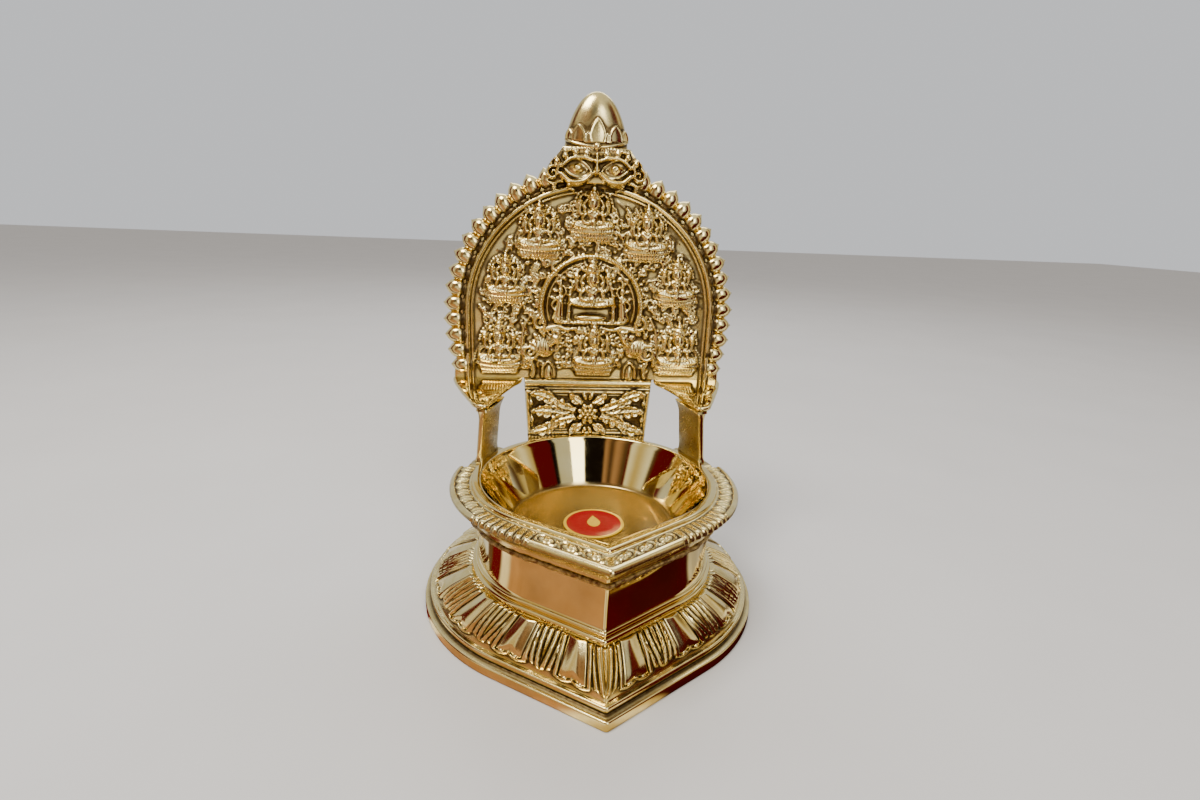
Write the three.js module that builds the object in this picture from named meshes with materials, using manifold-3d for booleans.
// Brass standing oil lamp: a heart-shaped foot and waist carry a pointed oil bowl, and an arched
// relief plate stands behind the bowl on a stem panel and two side brackets.
// Millimetres, +Z up. The origin is on the ground under the middle of the lamp, the bowl's point
// looks along -Y and the plate is at the back.
import * as THREE from "three";
import { mergeVertices } from "three/addons/utils/BufferGeometryUtils.js";
import Module from "manifold-3d";

const wasm = await Module();
wasm.setup();

const SIDES = { left: -1, right: 1 };
const radians = THREE.MathUtils.degToRad;

// ---- Driving dimensions ----------------------------------------------------------------------

const GAP = 0.2; // clearance between neighbouring castings
const BITE = 0.5; // how far a raised piece reaches into the body that it is joined to
const PAST = 1; // how far a cutter runs past the face that it cuts

// Every level of the foot, waist and bowl has one outline: a circle whose two front tangents meet
// in a point. TANGENT is the angle, from the front, where the flanks leave the circle. A nose is
// the rounding of the point, as a share of the circle's radius.
const TANGENT = radians(35);
const FOOT_NOSE = 0.1;
const BOWL_NOSE = 0.03;

const FOOT_RADIUS = 60;
const FOOT_HEIGHT = 18;
const FOOT_WALL = 3;
const PLINTH_STEP = 3.3; // height of the lower step of the plinth
const PLINTH_STEP_DEPTH = 1.9;
const PLINTH_TOP = 6;
const PETAL_BAND_RADIUS = 56.6; // at the bottom of the petals
const PETAL_BAND_BULGE = 1.6;
const PETALS = 16;
const PETAL_RELIEF = 1.1;
const RING_RADIUS = 41.9; // at the top of the petals, and round the waist's base
const LEAN = 8.8; // how far the bowl's centre stands in front of the foot's centre

const WAIST_BOTTOM = FOOT_HEIGHT + GAP;
const WAIST_NECK = 28;
const WAIST_TOP = 37.6;
const WAIST_INNER = 37.2;
const SEAM_INNER = 40.6;
const SEAM_HEIGHT = 0.8;
const SKIRT_BOTTOM = WAIST_TOP + SEAM_HEIGHT + 2 * GAP;

const LIP_TOP = 48.9;
const LIP_RADIUS = 38.8;
const LIP_OUTER = 42;
const FLANGE_TOP = 48.1;
const FLANGE_BOTTOM = 44.8;
const FLANGE_RADIUS = 49.2;
const PAD_RADIUS = 45.6; // the flange is only this wide under the brackets
const FLOOR_TOP = 31.7;
const FLOOR_RADIUS = 28.7;
const FLOOR_THICKNESS = 2.4;
const BOSS_RADIUS = 5;
const BOSS_BOTTOM = 24;
const PAD_START = radians(50); // angles from the back of the bowl
const FLANGE_START = radians(77);

const BOLT_RADIUS = 2.2;
const BOLT_CLEARANCE = 0.3;
const BOLT_HEAD_RADIUS = 4.4;
const BOLT_HEAD_HEIGHT = 3;
const WASHER_RADIUS = 6.5;
const WASHER_THICKNESS = 1;

const PLATE_THICKNESS = 3;
const PLATE_BOTTOM = 72.2;
const CORNER_HALF_WIDTH = 53;
const ARCH_CENTRE = 98; // height of the arch's centre
const ARCH_RADIUS = 50.2; // the plate's edge, under the studs
const SHOULDER_HALF_WIDTH = 17; // where the arch meets the crown
const STEM_TOP_HALF_WIDTH = 25.8;
const STEM_HALF_WIDTH = 24.1;
const STEM_BOTTOM = 45.4;
const TAB_HALF_WIDTH = 14;
const TAB_BOTTOM = 39.4;
const RIM = { outer: 48.6, width: 3.2, centre: ARCH_CENTRE, bottom: PLATE_BOTTOM, relief: 1.3 };
const INNER_ARCH = { outer: 20.5, width: 2.2, centre: 101, bottom: 93, relief: 1.6 };
const FINIAL_BOTTOM = 157;
const FINIAL_TOP = 177.8;
const FINIAL_RADIUS = 12;
const FINIAL_DEPTH = 0.55; // its depth front to back, as a share of its width

const STUD_PITCH = 6;
const STUD_REACH = 57; // from the arch's centre to a stud's tip
const STUD_RADIUS = 2.75;
const STUDS_UPRIGHT = 4; // on each side, below the arch's centre
const STUDS_ROUND = 11;

const PANEL = { top: 67.4, bottom: 48.6, border: 1.8, relief: 0.7 }; // relief panel on the stem

const SHELF_THICKNESS = 1.8;
const SHELF_REAR_TOP = 71.6;
const SHELF_TILT = radians(4.8); // the shelf falls towards the front
const LEG_TOP = 68.8; // just inside the shelf
const LEG_LEAN = 1.6; // each leg leans this far inwards from its foot to the shelf
const LUG = { width: 11, height: 10, thickness: 2, bottom: PLATE_BOTTOM - 2 };
const TENON_RADIUS = 1.1;
const TENON_DEPTH = 2;

const SCREW_RADIUS = 1.25;
const SCREW_HEAD_RADIUS = 2.5;
const SCREW_HEAD_HEIGHT = 1.3;
const SCREW_SLOT = { width: 0.7, depth: 0.4 };
const HOLE_RADIUS = SCREW_RADIUS + 0.2;
const STEM_SCREW = { x: 8, z: 42.4, reach: 2.6 };
const LUG_SCREW = { x: 38, z: PLATE_BOTTOM + 5, reach: 2.1 };

const LABEL_RADIUS = 10.6;
const LABEL_THICKNESS = 0.4;
const LABEL_FORWARD = 3.2; // the label lies this far in front of the bowl's centre
const GLUE = 0.05;

// Plan outlines of the right-hand bracket, with Y measured from the foot's centre.
const SHELF_PLAN = [
  [26.4, 39], [53.4, 39], [53.4, 34], [51, 22], [44.2, 8], [37.6, 3.6], [31.3, 15], [26.4, 28],
];
const LEG_PLAN = [[35, 18.5], [40.2, 3.6], [42.2, 4.3], [42.9, 5.8], [38, 19.6]];
const TENON_PLACE = { x: 39, y: 12 };

// Seated figures of the relief as [x, height of the seat, overall height]: one at the top, three
// down each side, one under the inner arch and one below it.
const FIGURES = [
  [0, 126, 22],
  [-20.3, 119, 19], [20.3, 119, 19],
  [-33, 102, 17], [33, 102, 17],
  [-35, 74.5, 19], [35, 74.5, 19],
  [0, 95, 23],
  [0, 74, 17],
];

// ---- Places worked out from them -------------------------------------------------------------

const FOOT_Y = (FOOT_RADIUS * (unitOutline(0, FOOT_NOSE) - 1)) / 2;
const BOWL_Y = FOOT_Y - LEAN;
const PLATE_Y = BOWL_Y + LIP_OUTER + 4 * GAP; // the plate's front face
const PLATE_MIDDLE = PLATE_Y + PLATE_THICKNESS / 2;
const PLATE_BACK = PLATE_Y + PLATE_THICKNESS;
const SKIRT_PAD_Y = PLATE_Y - GAP; // flat pad on the skirt that the stem's tab lies against
const LUG_BACK = PLATE_BACK + GAP + LUG.thickness;

// ---- Materials -------------------------------------------------------------------------------

const metal = (color, roughness) => new THREE.MeshStandardMaterial({ color, roughness, metalness: 1 });
const polishedBrass = () => metal(0xd8b25c, 0.14);
const castBrass = () => metal(0xc7a24a, 0.32);
const solder = () => metal(0xb08a48, 0.5);
const zincedSteel = () => metal(0x9a9a96, 0.4);
const foil = () => new THREE.MeshStandardMaterial({ color: 0xd0141a, roughness: 0.35, metalness: 0 });

// ---- Solids ----------------------------------------------------------------------------------

function toSolid(geometry) {
  const bare = geometry.index ? geometry.toNonIndexed() : geometry.clone();
  bare.deleteAttribute("normal");
  bare.deleteAttribute("uv");
  const merged = mergeVertices(bare, 1e-3);
  const vertProperties = merged.getAttribute("position").array;
  const triVerts = new Uint32Array(merged.index.array);
  return new wasm.Manifold(new wasm.Mesh({ numProp: 3, vertProperties, triVerts }));
}

function toGeometry(solid) {
  const mesh = solid.getMesh();
  const geometry = new THREE.BufferGeometry();
  geometry.setAttribute("position", new THREE.BufferAttribute(mesh.vertProperties, 3));
  geometry.setIndex(new THREE.BufferAttribute(mesh.triVerts, 1));
  geometry.computeVertexNormals();
  return geometry;
}

const join = (first, ...rest) =>
  toGeometry(rest.reduce((solid, next) => solid.add(toSolid(next)), toSolid(first)));

const cut = (first, ...rest) =>
  toGeometry(rest.reduce((solid, next) => solid.subtract(toSolid(next)), toSolid(first)));

/** Distance from the centre to a unit teardrop's outline, at the angle phi from its front point. */
function unitOutline(phi, nose) {
  const angle = Math.abs(phi);
  const noseCentre = (1 - nose) / Math.cos(TANGENT);
  const noseEnd = Math.atan2(nose * Math.sin(TANGENT), noseCentre + nose * Math.cos(TANGENT));
  if (angle < noseEnd) {
    const across = noseCentre * Math.sin(angle);
    return noseCentre * Math.cos(angle) + Math.sqrt(nose * nose - across * across);
  }
  return angle < TANGENT ? 1 / Math.cos(TANGENT - angle) : 1;
}

/** A profile of [radius, height] pairs turned round the Z axis. */
function turned(profile, segments) {
  const points = profile.map(([r, z]) => new THREE.Vector2(r, z));
  return new THREE.LatheGeometry(points, segments).rotateX(Math.PI / 2);
}

/**
 * A profile of [radius, height] pairs swept round the teardrop outline. centre(z) is the outline's
 * centre along Y, and relief(phi, r, z) is added to the radius.
 */
function teardrop(profile, { segments, nose, centre, relief = () => 0 }) {
  const geometry = turned(profile, segments);
  const position = geometry.getAttribute("position");
  for (let i = 0; i < position.count; i++) {
    const x = position.getX(i);
    const y = position.getY(i);
    const z = position.getZ(i);
    const radius = Math.hypot(x, y);
    const phi = Math.atan2(x, -y);
    const reach = (radius + relief(phi, radius, z)) * unitOutline(phi, nose);
    position.setXY(i, reach * Math.sin(phi), centre(z) - reach * Math.cos(phi));
  }
  return geometry;
}

/** A round bar along Z. */
function barZ(radius, bottom, top, sides = 20) {
  return new THREE.CylinderGeometry(radius, radius, top - bottom, sides)
    .rotateX(Math.PI / 2)
    .translate(0, 0, (top + bottom) / 2);
}

/** A round bar along Y. */
function barY(radius, front, back, sides = 16) {
  return new THREE.CylinderGeometry(radius, radius, back - front, sides)
    .translate(0, (front + back) / 2, 0);
}

/** A box given by its middle in X and its limits in Y and Z. */
function block(x, width, [front, back], [bottom, top]) {
  return new THREE.BoxGeometry(width, back - front, top - bottom)
    .translate(x, (front + back) / 2, (bottom + top) / 2);
}

/** An outline in the X-Z plane as a slab from y = front to y = back. */
function slabY(shape, front, back, curveSegments = 20) {
  return new THREE.ExtrudeGeometry(shape, { depth: back - front, bevelEnabled: false, curveSegments })
    .rotateX(Math.PI / 2)
    .translate(0, back, 0);
}

/** An outline in the X-Y plane as a slab of the given height on z = 0. */
function slabZ(shape, depth) {
  return new THREE.ExtrudeGeometry(shape, { depth, bevelEnabled: false, curveSegments: 16 });
}

/** An oval boss on the plate's front face. */
function boss(rx, ry, rz, x, z) {
  return new THREE.SphereGeometry(1, 8, 6).scale(rx, ry, rz).translate(x, PLATE_Y, z);
}

// ---- Foot ------------------------------------------------------------------------------------

// The foot's outline shrinks and moves forward as it rises to the ring under the waist.
const rise = (z) => THREE.MathUtils.clamp((z - PLINTH_TOP) / (FOOT_HEIGHT - PLINTH_TOP), 0, 1);
const footCentre = (z) => FOOT_Y - LEAN * rise(z);

function bandRadius(z) {
  const straight = THREE.MathUtils.lerp(PETAL_BAND_RADIUS, RING_RADIUS, rise(z));
  return straight + PETAL_BAND_BULGE * Math.sin(Math.PI * rise(z));
}

function footGeometry() {
  const bandTop = FOOT_HEIGHT - 1;
  const bandSteps = 5;
  const band = [];
  for (let i = 0; i <= bandSteps; i++) {
    const z = THREE.MathUtils.lerp(PLINTH_TOP, bandTop, i / bandSteps);
    band.push([bandRadius(z), z]);
  }
  const ceiling = FOOT_HEIGHT - FOOT_WALL;
  const slopingWall = FOOT_WALL + 1; // the wall's width where it slopes, measured level
  const stepRadius = FOOT_RADIUS - PLINTH_STEP_DEPTH;
  const body = teardrop([
    [0, ceiling],
    [bandRadius(ceiling + 1) - slopingWall, ceiling],
    [bandRadius(PLINTH_TOP + FOOT_WALL) - slopingWall, PLINTH_TOP + 2],
    [FOOT_RADIUS - FOOT_WALL - 0.5, 2],
    [FOOT_RADIUS - FOOT_WALL, 0],
    [FOOT_RADIUS, 0],
    [FOOT_RADIUS, PLINTH_STEP - 0.4],
    [FOOT_RADIUS - 0.4, PLINTH_STEP],
    [stepRadius, PLINTH_STEP],
    [stepRadius - 0.3, PLINTH_TOP - 0.4],
    ...band,
    [RING_RADIUS, FOOT_HEIGHT],
    [0, FOOT_HEIGHT],
  ], {
    segments: 6 * PETALS,
    nose: FOOT_NOSE,
    centre: footCentre,
    relief(phi, r, z) {
      const onPetals = z > PLINTH_TOP && z < bandTop && r > bandRadius(z) - 1;
      const petal = Math.abs(Math.cos((PETALS / 2) * phi)) * Math.sin(Math.PI * rise(z));
      return onPetals ? PETAL_RELIEF * petal : 0;
    },
  });
  const boltHole = barZ(BOLT_RADIUS + 2 * BOLT_CLEARANCE, ceiling - PAST, FOOT_HEIGHT + PAST)
    .translate(0, BOWL_Y, 0);
  return cut(body, boltHole);
}

// ---- Waist and solder seam -------------------------------------------------------------------

const bowlSweep = { segments: 60, nose: BOWL_NOSE, centre: () => BOWL_Y };

function waistGeometry() {
  return teardrop([
    [WAIST_INNER, WAIST_BOTTOM],
    [RING_RADIUS, WAIST_BOTTOM],
    [RING_RADIUS + 0.2, WAIST_BOTTOM + 1],
    [RING_RADIUS - 0.9, WAIST_BOTTOM + 1.9],
    [RING_RADIUS - 0.7, WAIST_BOTTOM + 2.9],
    [RING_RADIUS - 2, WAIST_BOTTOM + 4.4],
    [RING_RADIUS - 1.7, WAIST_NECK],
    [RING_RADIUS + 0.4, WAIST_TOP],
    [WAIST_INNER + 2.4, WAIST_TOP],
    [WAIST_INNER + 0.2, WAIST_NECK],
    [WAIST_INNER, WAIST_BOTTOM],
  ], bowlSweep);
}

/** Makes room behind the skirt for the stem's tab. */
const tabCutter = (bottom, top) =>
  block(0, 2 * TAB_HALF_WIDTH + 2, [SKIRT_PAD_Y, SKIRT_PAD_Y + 10], [bottom, top]);

function seamGeometry() {
  const bottom = WAIST_TOP + GAP;
  const top = bottom + SEAM_HEIGHT;
  const ring = teardrop([
    [SEAM_INNER, bottom],
    [SEAM_INNER + 1.9, bottom],
    [SEAM_INNER + 2.3, (bottom + top) / 2],
    [SEAM_INNER + 2.1, top],
    [SEAM_INNER, top],
    [SEAM_INNER, bottom],
  ], bowlSweep);
  return cut(ring, tabCutter(bottom - PAST, top + PAST));
}

// ---- Bowl ------------------------------------------------------------------------------------

/** What the flange leaves open: all of it behind the stem, the outside of it under each bracket. */
function flangeCutter() {
  const back = Math.PI / 2;
  const shape = new THREE.Shape();
  shape.absarc(0, 0, FLANGE_RADIUS + 10, back - FLANGE_START, back + FLANGE_START, false);
  shape.absarc(0, 0, PAD_RADIUS, back + FLANGE_START, back + PAD_START, true);
  shape.absarc(0, 0, LIP_OUTER, back + PAD_START, back - PAD_START, true);
  shape.absarc(0, 0, PAD_RADIUS, back - PAD_START, back - FLANGE_START, true);
  return slabZ(shape, LIP_TOP + PAST - FLANGE_BOTTOM).translate(0, BOWL_Y, FLANGE_BOTTOM);
}

function bowlGeometry() {
  const floorBottom = FLOOR_TOP - FLOOR_THICKNESS;
  const holeTop = floorBottom - 1;
  const body = teardrop([
    [0, holeTop],
    [BOLT_RADIUS + BOLT_CLEARANCE, holeTop],
    [BOLT_RADIUS + BOLT_CLEARANCE, BOSS_BOTTOM],
    [BOSS_RADIUS, BOSS_BOTTOM],
    [BOSS_RADIUS, floorBottom],
    [FLOOR_RADIUS + 2.4, floorBottom],
    [40.3, 45], // hollow between the cup and the skirt
    [41, 43.4],
    [40.2, SKIRT_BOTTOM],
    [42.9, SKIRT_BOTTOM],
    [45.2, 43.6], // cove under the flange
    [46.2, 44.9],
    [FLANGE_RADIUS - 0.4, 45.8],
    [FLANGE_RADIUS, 46.4],
    [FLANGE_RADIUS, FLANGE_TOP - 0.6],
    [FLANGE_RADIUS - 0.6, FLANGE_TOP],
    [LIP_OUTER, FLANGE_TOP],
    [LIP_OUTER - 0.6, LIP_TOP],
    [LIP_RADIUS + 0.5, LIP_TOP],
    [LIP_RADIUS, LIP_TOP - 0.5],
    [FLOOR_RADIUS, FLOOR_TOP + 0.6],
    [FLOOR_RADIUS - 1, FLOOR_TOP],
    [0, FLOOR_TOP],
  ], bowlSweep);
  const holes = Object.values(SIDES).flatMap((side) => [
    barY(HOLE_RADIUS, SKIRT_PAD_Y - 4, SKIRT_PAD_Y + PAST).translate(side * STEM_SCREW.x, 0, STEM_SCREW.z),
    barZ(TENON_RADIUS + GAP, FLANGE_TOP - TENON_DEPTH - GAP, FLANGE_TOP + PAST)
      .translate(side * TENON_PLACE.x, FOOT_Y + TENON_PLACE.y, 0),
  ]);
  return cut(body, flangeCutter(), tabCutter(SKIRT_BOTTOM - PAST, STEM_BOTTOM + GAP), ...holes);
}

// ---- Tie bolt, washer and label --------------------------------------------------------------

const washerBottom = FOOT_HEIGHT - FOOT_WALL - WASHER_THICKNESS - GAP;

function tieBoltGeometry() {
  const seat = washerBottom - GAP;
  const head = barZ(BOLT_HEAD_RADIUS, seat - BOLT_HEAD_HEIGHT, seat, 6);
  const shank = barZ(BOLT_RADIUS, seat - BITE, FLOOR_TOP - FLOOR_THICKNESS - 1.5);
  return join(head, shank).translate(0, BOWL_Y, 0);
}

function washerGeometry() {
  const inner = BOLT_RADIUS + BOLT_CLEARANCE;
  const top = washerBottom + WASHER_THICKNESS;
  return turned([
    [inner, washerBottom],
    [WASHER_RADIUS, washerBottom],
    [WASHER_RADIUS, top],
    [inner, top],
    [inner, washerBottom],
  ], 24).translate(0, BOWL_Y, 0);
}

function labelGeometry() {
  const bottom = FLOOR_TOP + GLUE;
  return barZ(LABEL_RADIUS, bottom, bottom + LABEL_THICKNESS, 40).translate(0, BOWL_Y - LABEL_FORWARD, 0);
}

// ---- Back plate ------------------------------------------------------------------------------

/** The plate's outline seen from the front: tab, stem, lower corners, arch and crown. */
function plateShape() {
  const half = new THREE.Path();
  half.moveTo(TAB_HALF_WIDTH, TAB_BOTTOM);
  half.lineTo(TAB_HALF_WIDTH, STEM_BOTTOM);
  half.lineTo(STEM_HALF_WIDTH, STEM_BOTTOM);
  half.lineTo(STEM_TOP_HALF_WIDTH, PLATE_BOTTOM);
  half.lineTo(CORNER_HALF_WIDTH, PLATE_BOTTOM);
  half.lineTo(CORNER_HALF_WIDTH - 1, PLATE_BOTTOM + 2);
  half.quadraticCurveTo(ARCH_RADIUS - 1, (PLATE_BOTTOM + ARCH_CENTRE) / 2, ARCH_RADIUS, ARCH_CENTRE);
  half.absarc(0, ARCH_CENTRE, ARCH_RADIUS, 0, Math.acos(SHOULDER_HALF_WIDTH / ARCH_RADIUS), false);
  half.lineTo(FINIAL_RADIUS, FINIAL_BOTTOM + 1);
  const right = half.getPoints(12);
  const left = right.map(({ x, y }) => new THREE.Vector2(-x, y)).reverse();
  return new THREE.Shape([...right, ...left]);
}

/** A horseshoe band that stands proud of the plate, with legs down to the height bottom. */
function horseshoe({ outer, width, centre, bottom, relief }) {
  const inner = outer - width;
  const shape = new THREE.Shape();
  shape.moveTo(outer, bottom);
  shape.absarc(0, centre, outer, 0, Math.PI, false);
  shape.lineTo(-outer, bottom);
  shape.lineTo(-inner, bottom);
  shape.absarc(0, centre, inner, Math.PI, 0, true);
  shape.lineTo(inner, bottom);
  return slabY(shape, PLATE_Y - relief, PLATE_Y + BITE);
}

/** Where the studs of one side stand: the angle they point at, their height and their inset. */
function studPlaces() {
  const places = [];
  const flare = 180; // the upright stretch bends in on a radius of half this
  for (let i = 0; i < STUDS_UPRIGHT; i++) {
    const drop = STUD_PITCH * (STUDS_UPRIGHT - i - 0.5);
    places.push({ angle: 0, z: ARCH_CENTRE - drop, inset: (drop * drop) / flare });
  }
  const step = STUD_PITCH / (RIM.outer + STUD_RADIUS);
  for (let i = 0; i < STUDS_ROUND; i++) places.push({ angle: step * (i + 0.5), z: ARCH_CENTRE, inset: 0 });
  return places;
}

/** An onion-shaped stud along +X, its root at x = 0. */
function studGeometry() {
  const length = STUD_REACH - RIM.outer;
  return turned([
    [0, 0],
    [0.8 * STUD_RADIUS, 0],
    [STUD_RADIUS, 0.35 * length],
    [0.6 * STUD_RADIUS, 0.7 * length],
    [0, length],
  ], 8).rotateY(Math.PI / 2);
}

const studs = () =>
  studPlaces().flatMap(({ angle, z, inset }) =>
    [angle, Math.PI - angle].map((direction) =>
      studGeometry()
        .translate(RIM.outer - inset, 0, 0)
        .rotateY(-direction)
        .translate(0, PLATE_MIDDLE, z)));

/** Lotus seat, folded legs, body and head of one seated figure. */
const figure = ([x, seat, height]) => [
  boss(7.2, 2, 2.6, x, seat + 1.6),
  boss(5.6, 2.1, 0.16 * height, x, seat + 0.34 * height),
  boss(3.1, 2, 0.22 * height, x, seat + 0.52 * height),
  boss(2, 2.1, 0.17 * height, x, seat + 0.83 * height),
];

/** The guardian mask over the arch: nose, cheeks, side volutes and brows. */
const mask = () => [
  boss(2, 4, 3.6, 0, 152),
  ...Object.values(SIDES).flatMap((side) => [
    boss(5.4, 3.6, 3.2, side * 6.8, 151.5),
    boss(3.4, 3.2, 4.2, side * 14.6, 151.5),
    boss(4.6, 3, 2, side * 6.2, 157),
  ]),
];

function finialGeometry() {
  const steps = 7;
  const profile = [[0, FINIAL_BOTTOM]];
  for (let i = 0; i <= steps; i++) {
    const t = i / steps;
    const z = THREE.MathUtils.lerp(FINIAL_BOTTOM, FINIAL_TOP, t);
    profile.push([FINIAL_RADIUS * Math.sqrt(1 - t ** 1.7), z]);
  }
  return turned(profile, 16).scale(1, FINIAL_DEPTH, 1).translate(0, PLATE_MIDDLE, 0);
}

/** The raised border of the stem's relief panel, a flower in its middle and a leaf on each side. */
function panelRelief() {
  const { top, bottom, border, relief } = PANEL;
  const corners = (inset) => [
    [inset - STEM_HALF_WIDTH, bottom + inset],
    [STEM_HALF_WIDTH - inset, bottom + inset],
    [STEM_TOP_HALF_WIDTH - 0.4 - inset, top - inset],
    [inset + 0.4 - STEM_TOP_HALF_WIDTH, top - inset],
  ].map(([x, z]) => new THREE.Vector2(x, z));
  const frame = new THREE.Shape(corners(0));
  frame.holes.push(new THREE.Path(corners(border)));
  const middle = (top + bottom) / 2;
  return [
    slabY(frame, PLATE_Y - relief, PLATE_Y + BITE),
    boss(5, 1.1, 5, 0, middle),
    boss(9, 0.8, 3, -13, middle),
    boss(9, 0.8, 3, 13, middle),
  ];
}

function plateGeometry() {
  const whole = join(
    slabY(plateShape(), PLATE_Y, PLATE_BACK),
    horseshoe(RIM),
    horseshoe(INNER_ARCH),
    finialGeometry(),
    ...studs(),
    ...mask(),
    ...panelRelief(),
    ...FIGURES.flatMap(figure),
  );
  const holes = Object.values(SIDES).flatMap((side) => [
    barY(HOLE_RADIUS, PLATE_Y - PAST, PLATE_BACK + PAST).translate(side * STEM_SCREW.x, 0, STEM_SCREW.z),
    barY(HOLE_RADIUS, PLATE_Y + 0.6, PLATE_BACK + PAST).translate(side * LUG_SCREW.x, 0, LUG_SCREW.z),
  ]);
  return cut(whole, ...holes);
}

// ---- Side brackets ---------------------------------------------------------------------------

const planShape = (plan, side) =>
  new THREE.Shape(plan.map(([x, y]) => new THREE.Vector2(side * x, FOOT_Y + y)));

function bracketGeometry(side) {
  const shelf = slabZ(planShape(SHELF_PLAN, side), SHELF_THICKNESS)
    .translate(0, -PLATE_Y, -SHELF_THICKNESS)
    .rotateX(SHELF_TILT)
    .translate(0, PLATE_Y, SHELF_REAR_TOP);
  const legBottom = FLANGE_TOP + GAP;
  const legHeight = LEG_TOP - legBottom;
  const lean = (-side * LEG_LEAN) / legHeight;
  const leg = slabZ(planShape(LEG_PLAN, side), legHeight)
    .applyMatrix4(new THREE.Matrix4().makeShear(0, 0, 0, 0, lean, 0))
    .translate(0, 0, legBottom);
  const tenon = barZ(TENON_RADIUS, FLANGE_TOP - TENON_DEPTH, legBottom + BITE)
    .translate(side * TENON_PLACE.x, FOOT_Y + TENON_PLACE.y, 0);
  const lugX = side * LUG_SCREW.x;
  const lugDepth = [LUG_BACK - LUG.thickness, LUG_BACK];
  const lug = block(lugX, LUG.width, lugDepth, [LUG.bottom, LUG.bottom + LUG.height]);
  const plateDepth = [PLATE_Y - GAP, PLATE_BACK + GAP];
  const plateRoom = block(lugX, 2 * STEM_TOP_HALF_WIDTH, plateDepth, [PLATE_BOTTOM - GAP, ARCH_CENTRE]);
  const hole = barY(HOLE_RADIUS, PLATE_BACK, LUG_BACK + PAST).translate(lugX, 0, LUG_SCREW.z);
  return cut(join(shelf, leg, tenon, lug), plateRoom, hole);
}

// ---- Screws ----------------------------------------------------------------------------------

/** A slotted screw along Y: its head stands behind the face at y = seat, its tip is at y = tip. */
function screwGeometry(x, z, tip, seat) {
  const headFront = seat + GAP;
  const headBack = headFront + SCREW_HEAD_HEIGHT;
  const head = barY(SCREW_HEAD_RADIUS, headFront, headBack);
  const shank = barY(SCREW_RADIUS, tip, headFront + BITE);
  const slotDepth = [headBack - SCREW_SLOT.depth, headBack + PAST];
  const slotHeight = [-SCREW_SLOT.width / 2, SCREW_SLOT.width / 2];
  const slot = block(0, 3 * SCREW_HEAD_RADIUS, slotDepth, slotHeight);
  return cut(join(head, shank), slot).translate(x, 0, z);
}

// ---- Assembly --------------------------------------------------------------------------------

const lamp = new THREE.Group();

function add(name, geometry, material) {
  const mesh = new THREE.Mesh(geometry, material);
  mesh.name = name;
  lamp.add(mesh);
}

add("foot", footGeometry(), castBrass());
add("waist", waistGeometry(), polishedBrass());
add("solder_seam", seamGeometry(), solder());
add("bowl", bowlGeometry(), polishedBrass());
add("tie_bolt", tieBoltGeometry(), zincedSteel());
add("tie_washer", washerGeometry(), zincedSteel());
add("foil_label", labelGeometry(), foil());
add("back_plate", plateGeometry(), castBrass());
for (const [name, side] of Object.entries(SIDES)) {
  const stemTip = SKIRT_PAD_Y - STEM_SCREW.reach;
  const stemScrew = screwGeometry(side * STEM_SCREW.x, STEM_SCREW.z, stemTip, PLATE_BACK);
  const lugTip = PLATE_BACK - LUG_SCREW.reach;
  const lugScrew = screwGeometry(side * LUG_SCREW.x, LUG_SCREW.z, lugTip, LUG_BACK);
  add(`${name}_bracket`, bracketGeometry(side), polishedBrass());
  add(`${name}_stem_screw`, stemScrew, zincedSteel());
  add(`${name}_lug_screw`, lugScrew, zincedSteel());
}

export default lamp;
